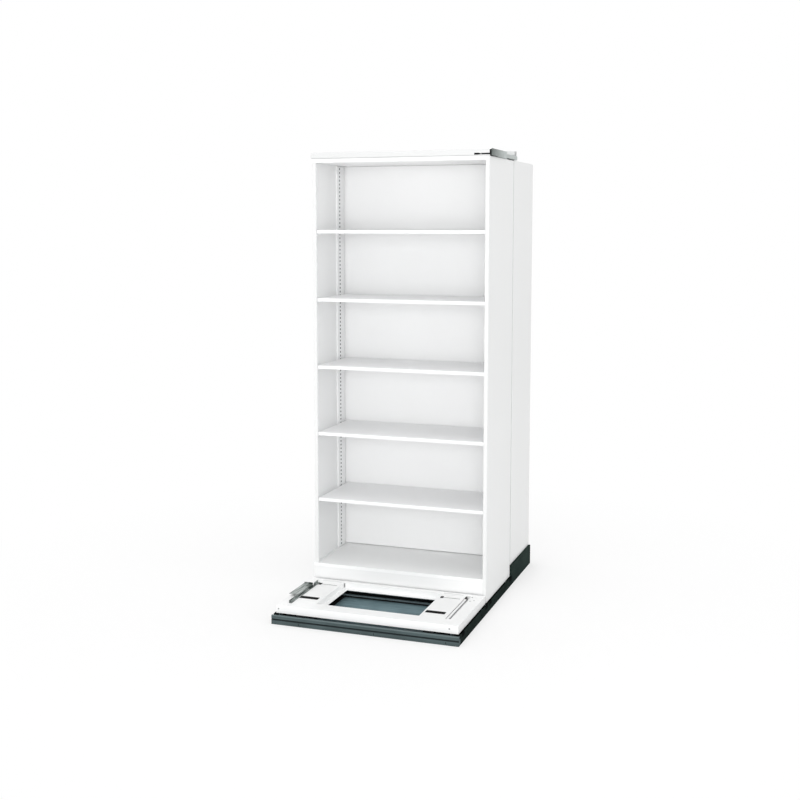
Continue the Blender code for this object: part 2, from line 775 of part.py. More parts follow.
def make_wheel_sets(prefix, front, rear, materials):
    first_row, second_row = wheel_rows(front, rear)
    outside = tread_width / 2 + flange_width
    start = first_row - outside - shaft_overrun
    end = second_row + rear_wheel_width / 2 + shaft_overrun
    for side_name, (box_start, line) in zip(("left", "right"), wheel_columns()):
        length = end - start
        profile = [(shaft_radius - shaft_edge, 0), (shaft_radius, shaft_edge),
                   (shaft_radius, length - shaft_edge), (shaft_radius - shaft_edge, length)]
        revolve(f"{prefix}_shaft_{side_name}", "y", (line, start, wheel_axis_level), profile, wheel_sides,
                materials["steel"], False)
        make_wheel(f"{prefix}_wheel_{side_name}_front", line, first_row, True, materials)
        make_wheel(f"{prefix}_wheel_{side_name}_rear", line, second_row, False, materials)


def make_joining_bracket(materials):
    """The zinc plated bracket on the left rim of the front carriage: an angle with a plate to its left."""
    x = -half_cabinet + bracket_inset
    low = carriage_top + seat_gap
    high = low + bracket_height
    outline = [(x, low), (x + bracket_foot, low), (x + bracket_foot, low + bracket_sheet),
               (x + bracket_sheet, low + bracket_sheet), (x + bracket_sheet, high), (x, high)]
    start = carriage_y + bracket_setback
    end = carriage_y + carriage_depth - bracket_rear_setback
    bracket = extrude_outline("joining_bracket", "y", outline, start, end, materials["zinc"])
    plate_x = (x - bracket_plate_width, x + bracket_sheet / 2)
    plate_y = (start + bracket_plate_setback, end - bracket_plate_rear_setback)
    add(bracket, block("joining_bracket_plate", plate_x, plate_y, (high - bracket_sheet, high)))
    add(bracket, block("joining_bracket_flange", plate_x, (plate_y[1] - bracket_sheet, plate_y[1]),
                       (high - bracket_sheet, high + bracket_flange_height)))
    notch_y = (plate_y[1], plate_y[1] + bracket_notch_length)
    cut(bracket, block("joining_bracket_notch", (x - cut_overrun, x + bracket_sheet + cut_overrun), notch_y,
                       (low + bracket_sheet, high + cut_overrun)))


def make_guide_rail(materials):
    """The rail on the rear cabinet, open at the front below its lip."""
    front = rear_y + guide_rail_setback
    back = front + guide_rail_width
    low = rear_cabinet_top + seat_gap
    high = low + guide_rail_height
    path = [(front, low), (back, low), (back, high), (front, high), (front, high - guide_lip_height)]
    outline = folded_outline(path, guide_rail_sheet)
    extrude_outline("upper_guide_rail", "x", outline, -half_cabinet, half_cabinet, materials["white"])


def channel_outline(left, right, low, high, sheet):
    """A channel that opens downwards."""
    return folded_outline([(left, low), (left, high), (right, high), (right, low)], -sheet)


def make_guide(materials):
    """The middle cabinet's arm, whose tongue carries a roller inside the rail on the rear cabinet."""
    rail_front = rear_y + guide_rail_setback
    rail_back = rail_front + guide_rail_width
    right = half_cabinet + arm_overhang
    left = right - arm_width
    low = cabinet_top + seat_gap
    front = middle_y + arm_setback
    rear = middle_y + middle_depth - arm_rear_setback
    outline = channel_outline(left, right, low, low + arm_height, arm_sheet)
    arm = extrude_outline("guide_arm", "y", outline, front, rear, materials["zinc"])
    tongue_low = low + tongue_level
    tongue_high = tongue_low + tongue_height
    tip = rail_back - guide_rail_sheet - tongue_tip_gap
    inner_left = left + arm_sheet - tongue_bite
    inner_right = right - arm_sheet + tongue_bite
    outline = channel_outline(inner_left, inner_right, tongue_low, tongue_high, arm_sheet)
    add(arm, extrude_outline("guide_arm_tongue", "y", outline, rear - tongue_overlap, tip, None))
    under_top = tongue_high - arm_sheet
    add(arm, block("guide_arm_plate", (right - plate_reach, inner_right - arm_sheet / 2),
                   (rail_front - plate_start_gap, tip - tongue_bite), (under_top, tongue_high - tongue_bite)))
    pin_x = half_cabinet - roller_inset
    centre_y = (rail_front + rail_back) / 2
    roller_low = tongue_high + roller_end_gap
    profile = [(pin_radius, -arm_sheet / 2), (pin_radius, roller_end_gap + roller_height)]
    add(arm, revolve("guide_arm_pin", "z", (pin_x, centre_y, tongue_high), profile, wheel_sides, None, False))
    radius = guide_rail_width / 2 - guide_rail_sheet - roller_side_gap
    bore = pin_radius + wheel_bore_gap
    half = roller_height / 2
    profile = [(bore, -half), (radius - roller_edge, -half), (radius, -half + roller_edge),
               (radius, half - roller_edge), (radius - roller_edge, half), (bore, half)]
    revolve("guide_roller", "z", (pin_x, centre_y, roller_low + half), profile, wheel_sides,
            materials["roller"], True)


def build():
    clear_scene()
    materials = make_materials()
    carriages = (
        ("front", carriage_y, carriage_y + carriage_depth, half_cabinet - carriage_side_inset),
        ("middle", middle_y + middle_carriage_setback, middle_y + middle_depth - middle_carriage_rear_setback,
         half_cabinet - side_thickness - seat_gap),
    )
    rows = [wheel_rows(front, rear) for prefix, front, rear, right in carriages]
    make_front_bar(materials)
    make_side_plate("side_plate_left", -1, materials)
    make_side_plate("side_plate_right", 1, materials)
    make_floor(rows, materials)
    lines = [line for start, line in wheel_columns()]
    for row_name, row in zip(("front", "middle"), rows):
        make_rail(f"rail_{row_name}_1", row[0], lines, wheel_radius + flange_height, materials)
        make_rail(f"rail_{row_name}_2", row[1], lines, wheel_radius + flange_height, materials)
    make_plinth(materials)
    make_rear_cabinet(materials)
    make_middle_cabinet(materials)
    make_top_strip(materials)
    for prefix, front, rear, right in carriages:
        wall = make_carriage(f"{prefix}_carriage", front, rear, right, materials)
        make_wheel_boxes(prefix, wall, materials)
        make_wheel_sets(prefix, front, rear, materials)
    make_joining_bracket(materials)
    make_guide_rail(materials)
    make_guide(materials)


build()
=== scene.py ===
"""Looks of the compact mobile shelving: finishes, fittings, light and camera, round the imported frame."""

import json
import math

import bmesh
import bpy
from mathutils import Matrix, Vector


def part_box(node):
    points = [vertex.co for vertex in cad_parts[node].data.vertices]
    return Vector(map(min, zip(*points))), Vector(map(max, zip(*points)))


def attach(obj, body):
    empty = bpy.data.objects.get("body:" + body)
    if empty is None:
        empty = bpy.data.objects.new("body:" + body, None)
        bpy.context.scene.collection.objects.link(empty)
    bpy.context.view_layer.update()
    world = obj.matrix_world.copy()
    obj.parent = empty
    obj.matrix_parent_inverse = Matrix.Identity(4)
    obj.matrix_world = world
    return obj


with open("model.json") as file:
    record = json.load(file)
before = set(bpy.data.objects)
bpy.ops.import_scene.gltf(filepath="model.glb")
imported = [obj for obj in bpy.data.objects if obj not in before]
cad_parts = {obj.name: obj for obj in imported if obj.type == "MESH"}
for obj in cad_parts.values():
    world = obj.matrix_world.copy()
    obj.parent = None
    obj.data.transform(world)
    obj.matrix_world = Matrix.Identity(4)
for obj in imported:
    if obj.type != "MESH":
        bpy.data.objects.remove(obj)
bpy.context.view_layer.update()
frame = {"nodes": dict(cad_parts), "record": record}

# Camera, fitted to the photograph with the frame's sizes held; its focus is in pixels
camera_place = (1.908, -5.588, 1.882)
camera_yaw = math.radians(19.43)
camera_pitch = math.radians(-6.14)
camera_focus = 1169.6
frame_pixels = 800
sensor_width = 36.0
camera_shift = 0.06

# Light: the level of the world's own light, and the soft lamps with their powers in watts
world_level = 0.83
lamp_target = (0, 0, 1.1)
top_target = (0, -0.3, 1.1)
wide_lamp = (4.0, 3.0)
square_lamp = (3.0, 3.0)
lamps = [
    dict(name="front_soft", place=(1.5, -7.0, 1.7), target=lamp_target, size=wide_lamp, power=165),
    dict(name="top_soft", place=(0.5, -2.0, 7.5), target=top_target, size=square_lamp, power=55),
    dict(name="side_soft", place=(6.5, -1.5, 2.2), target=lamp_target, size=square_lamp, power=45),
    dict(name="rear_soft", place=(-1.5, 7.0, 2.2), target=lamp_target, size=wide_lamp, power=60),
    dict(name="left_soft", place=(-6.5, 0.5, 2.2), target=lamp_target, size=square_lamp, power=30),
]

# Floor: its size and level, what it gives back to the object, and what the camera sees of it near and far
floor_reach = 30.0
floor_level = -0.0005
floor_roughness = 0.9
floor_colour = (0.88, 0.88, 0.88)
floor_near_colour = (0.42, 0.42, 0.42)
floor_near_glow = 0.555
shadow_reach = (0.9, 2.6)

# Colours: linear red, green and blue. The cabinets have one white paint, the first below; the lighter
# whites after it are copies of it, painted light on parts that the lamps leave darker
white_colour = (0.800, 0.806, 0.804)
low_painted_light_colour = (0.940, 0.945, 0.943)
panel_painted_light_colour = (0.935, 0.939, 0.939)
shelf_painted_light_colour = (0.925, 0.928, 0.933)
# Painted light on the inner faces of the cabinet's sides and a painted highlight on the guide arm's cut
# edge
painted_light_white = (0.900, 0.905, 0.905)
kick_painted_light_colour = (0.870, 0.875, 0.873)
soffit_painted_light_colour = (0.985, 0.985, 0.985)
# Grey painted shade in the recess of the front carriage and on the ridge's right side
recess_painted_shade_colour = (0.560, 0.560, 0.565)
# Grey painted shade along the slits of the wheel boxes
slit_painted_shade_colour = (0.420, 0.425, 0.425)
# Black painted shade: inside the wheel boxes and under them, behind the uprights' slots, on the strip's
# slot lips, the arm's hollow and foot, and under the rails' shoulders
painted_shade_black = (0.010, 0.011, 0.011)
# Black painted shade over the rails' ends on the side plates
opening_painted_shade_colour = (0.002, 0.003, 0.003)
base_dark = (0.008, 0.013, 0.012)
base_light = (0.016, 0.025, 0.022)
bar_dark = (0.054, 0.072, 0.074)
bar_light = (0.084, 0.112, 0.116)
# Painted shade in the bar's groove; the same colour also serves for the bar's dark joint marks
groove_shade_and_joint_colour = (0.020, 0.027, 0.028)
# Painted highlight on the bar's upper edge
bar_highlight_colour = (0.125, 0.160, 0.165)
deck_dark = (0.120, 0.182, 0.202)
deck_light = (0.190, 0.275, 0.300)
rail_dark = (0.150, 0.200, 0.215)
rail_light = (0.230, 0.290, 0.310)
steel_dark = (0.22, 0.23, 0.24)
steel_light = (0.48, 0.49, 0.50)
fixing_dark = (0.30, 0.31, 0.31)
fixing_light = (0.55, 0.56, 0.56)
zinc_dark = (0.08, 0.098, 0.090)
zinc_light = (0.56, 0.60, 0.585)
arm_light = (0.56, 0.60, 0.59)
plastic_dark = (0.045, 0.045, 0.045)
plastic_light = (0.075, 0.075, 0.075)
rubber_dark = (0.006, 0.006, 0.006)
rubber_light = (0.012, 0.012, 0.012)

# How much lighter than the base the plinth is, and how much darker than the cabinets the strip is painted,
# as painted shade
plinth_lift = 1.65
strip_painted_shade_level = 0.94

# Gloss: the roughness range of each finish, and how much the dark ones mirror
coat_roughness = (0.40, 0.50)
base_roughness = (0.60, 0.75)
bar_roughness = (0.50, 0.68)
rail_roughness = (0.45, 0.60)
zinc_roughness = (0.38, 0.62)
steel_roughness = (0.26, 0.44)
plastic_roughness = (0.50, 0.70)
base_specular = 0.006
bar_specular = 0.03
deck_specular = 0.06
plastic_specular = 0.03

# Textures: the middle range and the detail of a noise, scales in features per metre, and bump depths
middle_range = (0.3, 0.7)
fine_detail = 2.0
broad_detail = 3.0
line_detail = 4.0
cloud_detail = 5.0
coat_evenness = 0.985
coat_cloud_scale = 3.0
coat_peel_scale = 700.0
coat_peel = 0.12
streak_scales = (90.0, 90.0, 260.0)
streak_draw = 2.2
streak_share = 0.55
patch_scale = 9.0
patch_range = (0.12, 0.33)
paint_range = (0.32, 0.62)
paint_grain_scale = 900.0
paint_grain = 0.18
cloud_scale = 45.0
cloud_range = (0.32, 0.70)
cloud_calm = (-0.06, 0.06)
cloud_fade = (0.36, 0.66)
zinc_grain_scale = 500.0
zinc_grain = 0.10
even_grain = (1, 1, 1)
bracket_grain = (3, 0.25, 3)
arm_grain = (1, 0.5, 1)
arm_fade = (-0.19, 0.06)
line_scales = (500.0, 500.0, 500.0)
line_draw = 6.0
line_depth = 0.08
plastic_grain_scale = 1200.0
plastic_grain = 0.2
deep_bump = 0.0003
fine_bump = 0.0002

# Axes that streaks and lines run along
along_x = 0
along_y = 1

# Coloured boxes: how far they stand past the faces that they colour, or past the whole piece
past = 0.01
beyond = 1.0

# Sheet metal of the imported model
cabinet_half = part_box("middle_end_panel")[1][0]
wall_sheet = 0.0012
wall_gap = 0.0004
wall_face = cabinet_half - wall_sheet - wall_gap
front_proud = 0.006
rear_proud = 0.0085
upright_sheet = 0.0013
return_depth = 0.0195
arm_width = 0.053
arm_sheet = 0.003
ledge_floor = 0.0612

# Wheel boxes: their slot and keyhole, from the left, front and rear faces
box_width = 0.127
box_sheet = 0.0015
slot_start = 0.0093
slot_length = 0.0965
slot_setback = 0.0592
slot_depth = 0.025
key_start = 0.0148
key_width = 0.009
key_depth = 0.020
key_setback = 0.0447

# Top strip: its slot
strip_slot_length = 0.075
strip_slot_level = 0.0062
strip_slot_height = 0.007

# Painted shade on the lips of the strip's slot, black painted shade over the rails' ends, and painted shade
# under the rails' shoulders
lip_side = 0.0005
lip_width = 0.0010
lip_depth = 0.004
rail_opening_level = 0.027
rail_opening_margin = 0.003
rail_shade_level = 0.0168

# Painted shade in the corner of the bracket, and the painted shade and painted highlight of the guide arm
shaded_corner_width = 0.032
shaded_corner_setbacks = (0.120, 0.064)
arm_hollow_length = 0.20
arm_foot_length = 0.10
arm_edge_depth = 0.001

# Painted shade in the groove, dark joint marks, and a painted highlight on the upper edge of the front bar
groove_levels = (0.0196, 0.0272)
bar_marks = (-0.324, 0.0544, 0.4031)
bar_mark_half = 0.0016
bar_mark_levels = (0.0062, 0.0158)
bar_face_depth = 0.004
bar_edge_height = 0.0034
bar_edge_depth = 0.02

# Wheel boxes and carriages: grey painted shade along the slit, black painted shade inside, grey painted
# shade in the recess with a black painted shade mark at its rear end, and painted shade on the right side
slit_ends = (0.024, 0.110)
slit_half = 0.0038
slit_depth = 0.0020
box_inside_margin = 0.0012
box_inside_reach = 0.004
recess_bite = 0.0006
recess_edge = 0.0005
recess_end = 0.001
recess_top = 0.0008
notch_bites = (0.0015, 0.0012)
notch_length = 0.026
side_face_skin = 0.0008
side_face_top = 0.0010

# Painted light on the inner faces of the middle cabinet's sides, and black painted shade behind the
# uprights' slots
panel_skin = 0.0006
panel_front_skin = 0.0008
panel_inner_depth = 0.42
panel_bite = 0.0003

# Pieces: the gap to what carries them, and their rounded edges
seat_gap = 0.0002
small_edge = 0.0003
insert_edge = 0.0004
ridge_edge = 0.0008
edge_segments = 2
edge_profile = 0.5
sharp_angle = math.radians(35)

# Screws: places on the front carriage and its bracket, sizes, and a head as shares of its radius and height
screw_sides = 20
head_shares = ((0, 0), (1, 0), (1, 0.35), (0.86, 0.78), (0.6, 1), (0.42, 1), (0.3864, 0.35), (0, 0.35))
front_screw_places = (-0.4418, 0.410)
front_screw_level = 0.067
front_screw_size = (0.0038, 0.0014)
rim_screw_places = ((0.3985, -0.2518), (0.4045, -0.3109), (0.4205, -0.2972))
rim_screw_size = (0.0036, 0.0010)
bracket_sheet = 0.002
bracket_screw_inset = 0.006
bracket_screw_start = 0.03
bracket_screw_pitch = 0.095
bracket_screw_count = 4
bracket_screw_size = (0.0036, 0.0022)

# Brushes and plugs of the wheel boxes
slot_margin = 0.0004
brush_wing = 0.004
brush_gap = 0.0003
brush_sheet = 0.0016
trim_width = 0.0035
trim_sheet = 0.0007
plug_depth = 0.0028
plug_rise = 0.0001
collar_width = 0.0028
collar_rise = 0.0010

# Laps behind the front wheel boxes, and the ridge in the right one's recess
lap_ends = (0.010, 0.112)
lap_start = 0.0004
lap_depth = 0.0125
lap_sheet = 0.0009
ridge_gap = 0.0040
ridge_width = 0.0100
ridge_front_gap = 0.002
ridge_rear_gap = 0.045
ridge_drop = 0.0006
ridge_side_skin = 0.0006
ridge_side_past = 0.001
ridge_side_top = 0.0012

# Deck covers: how far in from the deck's edges they start, and where they end under the wheel boxes
cover_end_gap = 0.001
cover_side_gap = 0.003
cover_sheet = 0.0008
left_cover_end = -0.270
right_cover_end = 0.262

# Soffit sheet and bottom shelf ends
soffit_half = 0.4335
soffit_joint = 0.0003
soffit_front_gap = 0.003
soffit_rear_gap = 0.0155
soffit_sheet = 0.0012
filler_rear_gap = 0.0160
filler_sheet = 0.0014
filler_joint = 0.0004
nose_side_gap = 0.0019
nose_front_gap = 0.0016

# Retaining rings of the wheels, and the insert of the top strip
ring_sides = 24
ring_thickness = 0.0010
ring_height = 0.0022
insert_overlap = 0.003
insert_arm_gap = 0.0006
insert_depths = (0.0018, 0.0075)
insert_levels = (0.0050, 0.0145)


def start_material(name, roughness, metallic=0.0, specular=0.5):
    """A Principled material, and the coordinates fixed to the piece that wears it."""
    material = bpy.data.materials.new(name)
    material.use_nodes = True
    tree = material.node_tree
    shader = tree.nodes["Principled BSDF"]
    shader.inputs["Roughness"].default_value = roughness
    shader.inputs["Metallic"].default_value = metallic
    shader.inputs["Specular IOR Level"].default_value = specular
    place = tree.nodes.new("ShaderNodeTexCoord").outputs["Object"]
    return material, tree, shader, place


def math_node(tree, operation, *values):
    """The result of an operation on values, each a socket or a plain number."""
    node = tree.nodes.new("ShaderNodeMath")
    node.operation = operation
    for socket, value in zip(node.inputs, values):
        if isinstance(value, float):
            socket.default_value = value
        else:
            tree.links.new(value, socket)
    return node.outputs["Value"]


def vector_node(tree, operation, first, second=(0, 0, 0)):
    """The result of an operation on a vector socket and a plain vector."""
    node = tree.nodes.new("ShaderNodeVectorMath")
    node.operation = operation
    tree.links.new(first, node.inputs[0])
    node.inputs[1].default_value = second
    return node.outputs["Vector"]


def noise(tree, place, scale, detail=fine_detail):
    """A noise between 0 and 1 at a place."""
    node = tree.nodes.new("ShaderNodeTexNoise")
    node.inputs["Scale"].default_value = scale
    node.inputs["Detail"].default_value = detail
    tree.links.new(place, node.inputs["Vector"])
    return node.outputs["Fac"]


def drawn_noise(tree, place, scales, along, draw, detail):
    """A noise that is drawn out along one axis."""
    factors = list(scales)
    factors[along] = draw
    return noise(tree, vector_node(tree, "MULTIPLY", place, factors), 1.0, detail)


def ramp(tree, factor, positions, colours):
    """A colour between two, at their positions along a factor."""
    node = tree.nodes.new("ShaderNodeValToRGB")
    for element, position, colour in zip(node.color_ramp.elements, positions, colours):
        element.position = position
        element.color = (*colour, 1)
    tree.links.new(factor, node.inputs["Fac"])
    return node.outputs["Color"]


def spread(tree, value, low, high, source=middle_range):
    """A value between low and high, as another goes through its source range."""
    node = tree.nodes.new("ShaderNodeMapRange")
    node.inputs["From Min"].default_value = source[0]
    node.inputs["From Max"].default_value = source[1]
    node.inputs["To Min"].default_value = low
    node.inputs["To Max"].default_value = high
    tree.links.new(value, node.inputs["Value"])
    return node.outputs["Result"]


def bump(tree, shader, height, strength, distance):
    """Gives a shader a fine relief."""
    node = tree.nodes.new("ShaderNodeBump")
    node.inputs["Strength"].default_value = strength
    node.inputs["Distance"].default_value = distance
    tree.links.new(height, node.inputs["Height"])
    tree.links.new(node.outputs["Normal"], shader.inputs["Normal"])


def shade(colour, factor):
    """A colour made lighter or darker."""
    return tuple(channel * factor for channel in colour)


def powder_coat(name, colour):
    """Satin powder coat: nearly even, with a fine orange peel and slightly uneven gloss."""
    material, tree, shader, place = start_material(name, coat_roughness[0])
    broad = noise(tree, place, coat_cloud_scale, broad_detail)
    tint = ramp(tree, broad, middle_range, (shade(colour, coat_evenness), colour))
    tree.links.new(tint, shader.inputs["Base Color"])
    tree.links.new(spread(tree, broad, *coat_roughness), shader.inputs["Roughness"])
    bump(tree, shader, noise(tree, place, coat_peel_scale), coat_peel, deep_bump)
    return material


def drawn_paint(name, dark, light, along, roughness, specular):
    """Dark satin paint over drawn steel: long faint streaks along one axis, and a fine grain."""
    material, tree, shader, place = start_material(name, roughness[0], specular=specular)
    streaks = drawn_noise(tree, place, streak_scales, along, streak_draw, broad_detail)
    patches = spread(tree, noise(tree, place, patch_scale, broad_detail), *patch_range)
    both = math_node(tree, "MULTIPLY_ADD", streaks, streak_share, patches)
    tree.links.new(ramp(tree, both, paint_range, (dark, light)), shader.inputs["Base Color"])
    tree.links.new(spread(tree, streaks, *roughness), shader.inputs["Roughness"])
    bump(tree, shader, noise(tree, place, paint_grain_scale), paint_grain, deep_bump)
    return material


def zinc(name, dark, light, grain=even_grain, fade=None):
    """Dull zinc plate: cloudy patches, drawn out where the sheet was rolled, that may clear along y."""
    material, tree, shader, place = start_material(name, zinc_roughness[0], metallic=1.0)
    cloud = noise(tree, vector_node(tree, "MULTIPLY", place, grain), cloud_scale, cloud_detail)
    factor = cloud
    if fade:
        split = tree.nodes.new("ShaderNodeSeparateXYZ")
        tree.links.new(place, split.inputs["Vector"])
        clearing = spread(tree, split.outputs["Y"], *cloud_fade, fade)
        factor = math_node(tree, "ADD", spread(tree, cloud, *cloud_calm), clearing)
    tree.links.new(ramp(tree, factor, cloud_range, (dark, light)), shader.inputs["Base Color"])
    tree.links.new(spread(tree, cloud, *zinc_roughness), shader.inputs["Roughness"])
    bump(tree, shader, noise(tree, place, zinc_grain_scale), zinc_grain, fine_bump)
    return material


def drawn_steel(name, dark, light, along):
    """Bare steel with drawing or turning lines along one axis."""
    material, tree, shader, place = start_material(name, steel_roughness[0], metallic=1.0)
    lines = drawn_noise(tree, place, line_scales, along, line_draw, line_detail)
    tree.links.new(ramp(tree, lines, middle_range, (dark, light)), shader.inputs["Base Color"])
    tree.links.new(spread(tree, lines, *steel_roughness), shader.inputs["Roughness"])
    bump(tree, shader, lines, line_depth, fine_bump)
    return material


def moulded(name, dark, light):
    """Moulded plastic or rubber: matt, with a fine grain."""
    material, tree, shader, place = start_material(name, plastic_roughness[0], specular=plastic_specular)
    grain = noise(tree, place, plastic_grain_scale)
    tree.links.new(ramp(tree, grain, middle_range, (dark, light)), shader.inputs["Base Color"])
    tree.links.new(spread(tree, grain, *plastic_roughness), shader.inputs["Roughness"])
    bump(tree, shader, grain, plastic_grain, fine_bump)
    return material


def within(tree, place, low, high):
    """1 inside a box of the piece's own coordinates, 0 outside."""
    middle = (Vector(low) + Vector(high)) / 2
    half = (Vector(high) - Vector(low)) / 2
    offset = vector_node(tree, "ABSOLUTE", vector_node(tree, "SUBTRACT", place, middle))
    split = tree.nodes.new("ShaderNodeSeparateXYZ")
    tree.links.new(vector_node(tree, "DIVIDE", offset, half), split.inputs["Vector"])
    widest = math_node(tree, "MAXIMUM", split.outputs["X"], split.outputs["Y"])
    widest = math_node(tree, "MAXIMUM", widest, split.outputs["Z"])
    return math_node(tree, "LESS_THAN", widest, 1.0)


def patch(material, boxes, colour, unglossed_shade=False):
    """Another colour on the faces within the boxes; where asked, those faces are also made metallic and
    fully rough, so that painted shade there shows no gloss.
    """
    tree = material.node_tree
    shader = tree.nodes["Principled BSDF"]
    coat = shader.inputs["Base Color"].links[0].from_socket
    place = tree.nodes.new("ShaderNodeTexCoord").outputs["Object"]
    inside = within(tree, place, *boxes[0])
    for low, high in boxes[1:]:
        inside = math_node(tree, "MAXIMUM", inside, within(tree, place, low, high))
    mix = tree.nodes.new("ShaderNodeMix")
    mix.data_type = "RGBA"
    colour_inputs = [socket for socket in mix.inputs if socket.type == "RGBA"]
    colour_output = [socket for socket in mix.outputs if socket.type == "RGBA"][0]
    tree.links.new(inside, mix.inputs["Factor"])
    tree.links.new(coat, colour_inputs[0])
    colour_inputs[1].default_value = (*colour, 1)
    tree.links.new(colour_output, shader.inputs["Base Color"])
    if unglossed_shade:
        tree.links.new(inside, shader.inputs["Metallic"])
        gloss = shader.inputs["Roughness"].links[0].from_socket
        tree.links.new(math_node(tree, "MAXIMUM", gloss, inside), shader.inputs["Roughness"])
    return material


def base_paint(name, lift=1.0):
    """The green black paint of the base, or a lighter one."""
    return drawn_paint(name, shade(base_dark, lift), shade(base_light, lift), along_y, base_roughness,
                       base_specular)


materials = {
    "white_paint": powder_coat("white_powder_coat", white_colour),
    # Lighter copies of the white paint, as painted light, and a darker one on the strip, as painted shade
    "low_paint": powder_coat("low_painted_light_coat", low_painted_light_colour),
    "panel_paint": powder_coat("panel_painted_light_coat", panel_painted_light_colour),
    "shelf_paint": powder_coat("shelf_painted_light_coat", shelf_painted_light_colour),
    "kick_paint": powder_coat("kick_painted_light_coat", kick_painted_light_colour),
    "soffit_paint": powder_coat("soffit_painted_light_coat", soffit_painted_light_colour),
    "strip_paint": powder_coat("strip_painted_shade_coat", shade(white_colour, strip_painted_shade_level)),
    "ridge_paint": powder_coat("ridge_painted_light_and_shade_coat", low_painted_light_colour),
    "dark_paint": base_paint("base_paint"),
    "plinth_paint": base_paint("plinth_paint", plinth_lift),
    "bar_paint": drawn_paint("bar_paint", bar_dark, bar_light, along_x, bar_roughness, bar_specular),
    "deck_paint": drawn_paint("deck_paint", deck_dark, deck_light, along_x, bar_roughness, deck_specular),
    "zinc_plate": zinc("zinc_plate", zinc_dark, zinc_light, bracket_grain),
    "arm_plate": zinc("arm_plate", zinc_dark, arm_light, arm_grain, arm_fade),
    "fixing_steel": zinc("fixing_steel", fixing_dark, fixing_light),
    "bright_steel": drawn_steel("drawn_steel", steel_dark, steel_light, along_x),
    "turned_steel": drawn_steel("turned_steel", steel_dark, steel_light, along_y),
    "roller_plastic": moulded("roller_plastic", plastic_dark, plastic_light),
    "rubber": moulded("black_rubber", rubber_dark, rubber_light),
}


def wheel_box_insides(row):
    """The spaces under a row's two wheel boxes, which are painted black as painted shade."""
    boxes = []
    for side in ("left", "right"):
        low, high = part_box(f"{row}_wheel_box_{side}")
        right = low[0] + box_width - box_inside_margin
        boxes.append(((low[0] + box_inside_margin, low[1] - box_inside_reach, low[2] - box_inside_reach),
                      (right, high[1] + box_inside_reach, high[2] - box_inside_margin)))
    return boxes


def upright_inside(name, margin):
    """The space behind an upright's face, which is painted black as painted shade."""
    low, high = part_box(name)
    side = -1 if name.endswith("left") else 1
    wall = side * (cabinet_half - wall_sheet)
    proud = front_proud if "_front_" in name else rear_proud
    near = wall + side * margin
    far = wall - side * (proud - upright_sheet)
    return ((min(near, far), low[1] + upright_sheet, low[2] + upright_sheet),
            (max(near, far), high[1] - upright_sheet, high[2] - upright_sheet))


def strip_finish(name):
    """The top strip, with black painted shade on the lips of its slot."""
    low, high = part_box(name)
    slot_low = low[2] + strip_slot_level
    lips = ((high[0] - strip_slot_length - lip_side, low[1] - past, slot_low - lip_width),
            (high[0] - arm_width, low[1] + lip_depth, slot_low + strip_slot_height + lip_width))
    return patch(materials["strip_paint"], [lips], painted_shade_black)


def side_plate_finish(name):
    """A side plate, with black painted shade over the ends of the rails."""
    low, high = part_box(name)
    rails = [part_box(node) for node in frame["nodes"] if node.startswith("rail_")]
    shaded_openings = [((low[0] - past, rail_low[1] - rail_opening_margin, rail_opening_level),
                 (high[0] + past, rail_high[1] + rail_opening_margin, beyond))
                for rail_low, rail_high in rails]
    return patch(base_paint(f"{name}_paint"), shaded_openings, opening_painted_shade_colour)


def rail_finish(name):
    """A rail, in shade below its shoulder."""
    low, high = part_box(name)
    below = ((low[0] - beyond, low[1] - beyond, low[2] - beyond),
             (high[0] + beyond, high[1] + beyond, rail_shade_level))
    paint = drawn_paint(f"{name}_paint", rail_dark, rail_light, along_x, rail_roughness, deck_specular)
    return patch(paint, [below], painted_shade_black)


def bracket_finish(name):
    """The joining bracket, with painted shade at its inner corner."""
    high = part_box(name)[1]
    corner = ((high[0] - shaded_corner_width, high[1] - shaded_corner_setbacks[0], high[2] - beyond),
              (high[0], high[1] - shaded_corner_setbacks[1], high[2] + beyond))
    return patch(materials["zinc_plate"], [corner], zinc_dark)


def arm_finish(name):
    """The guide arm: painted shade on its hollow and foot, and a painted highlight on its cut front edge
    above the strip.
    """
    low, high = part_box(name)
    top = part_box("top_strip")[1][2]
    left = high[0] - arm_width - arm_sheet
    right = high[0] - arm_sheet
    front = low[1] - arm_sheet
    under = low[2] - arm_sheet
    hollow = ((left, front, under), (right, low[1] + arm_hollow_length, top))
    foot = ((low[0], front, under), (high[0] + arm_sheet, low[1] + arm_foot_length, low[2] + arm_sheet))
    highlighted_edge = ((left, front, top), (right, low[1] + arm_edge_depth, top + beyond))
    return patch(patch(materials["arm_plate"], [hollow, foot], painted_shade_black), [highlighted_edge], painted_light_white)


def bar_finish(name):
    """The front bar: painted shade in its groove, dark joint marks below it and a painted highlight on its
    upper edge.
    """
    low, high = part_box(name)
    left = low[0] - beyond
    right = high[0] + beyond
    front = low[1] - beyond
    face = low[1] + bar_face_depth
    dark = [((left, front, groove_levels[0]), (right, face, groove_levels[1]))]
    for x in bar_marks:
        dark.append(((x - bar_mark_half, front, bar_mark_levels[0]),
                     (x + bar_mark_half, face, bar_mark_levels[1])))
    edge = ((left, front, high[2] - bar_edge_height), (right, low[1] + bar_edge_depth, high[2] + beyond))
    return patch(patch(materials["bar_paint"], dark, groove_shade_and_joint_colour), [edge], bar_highlight_colour)


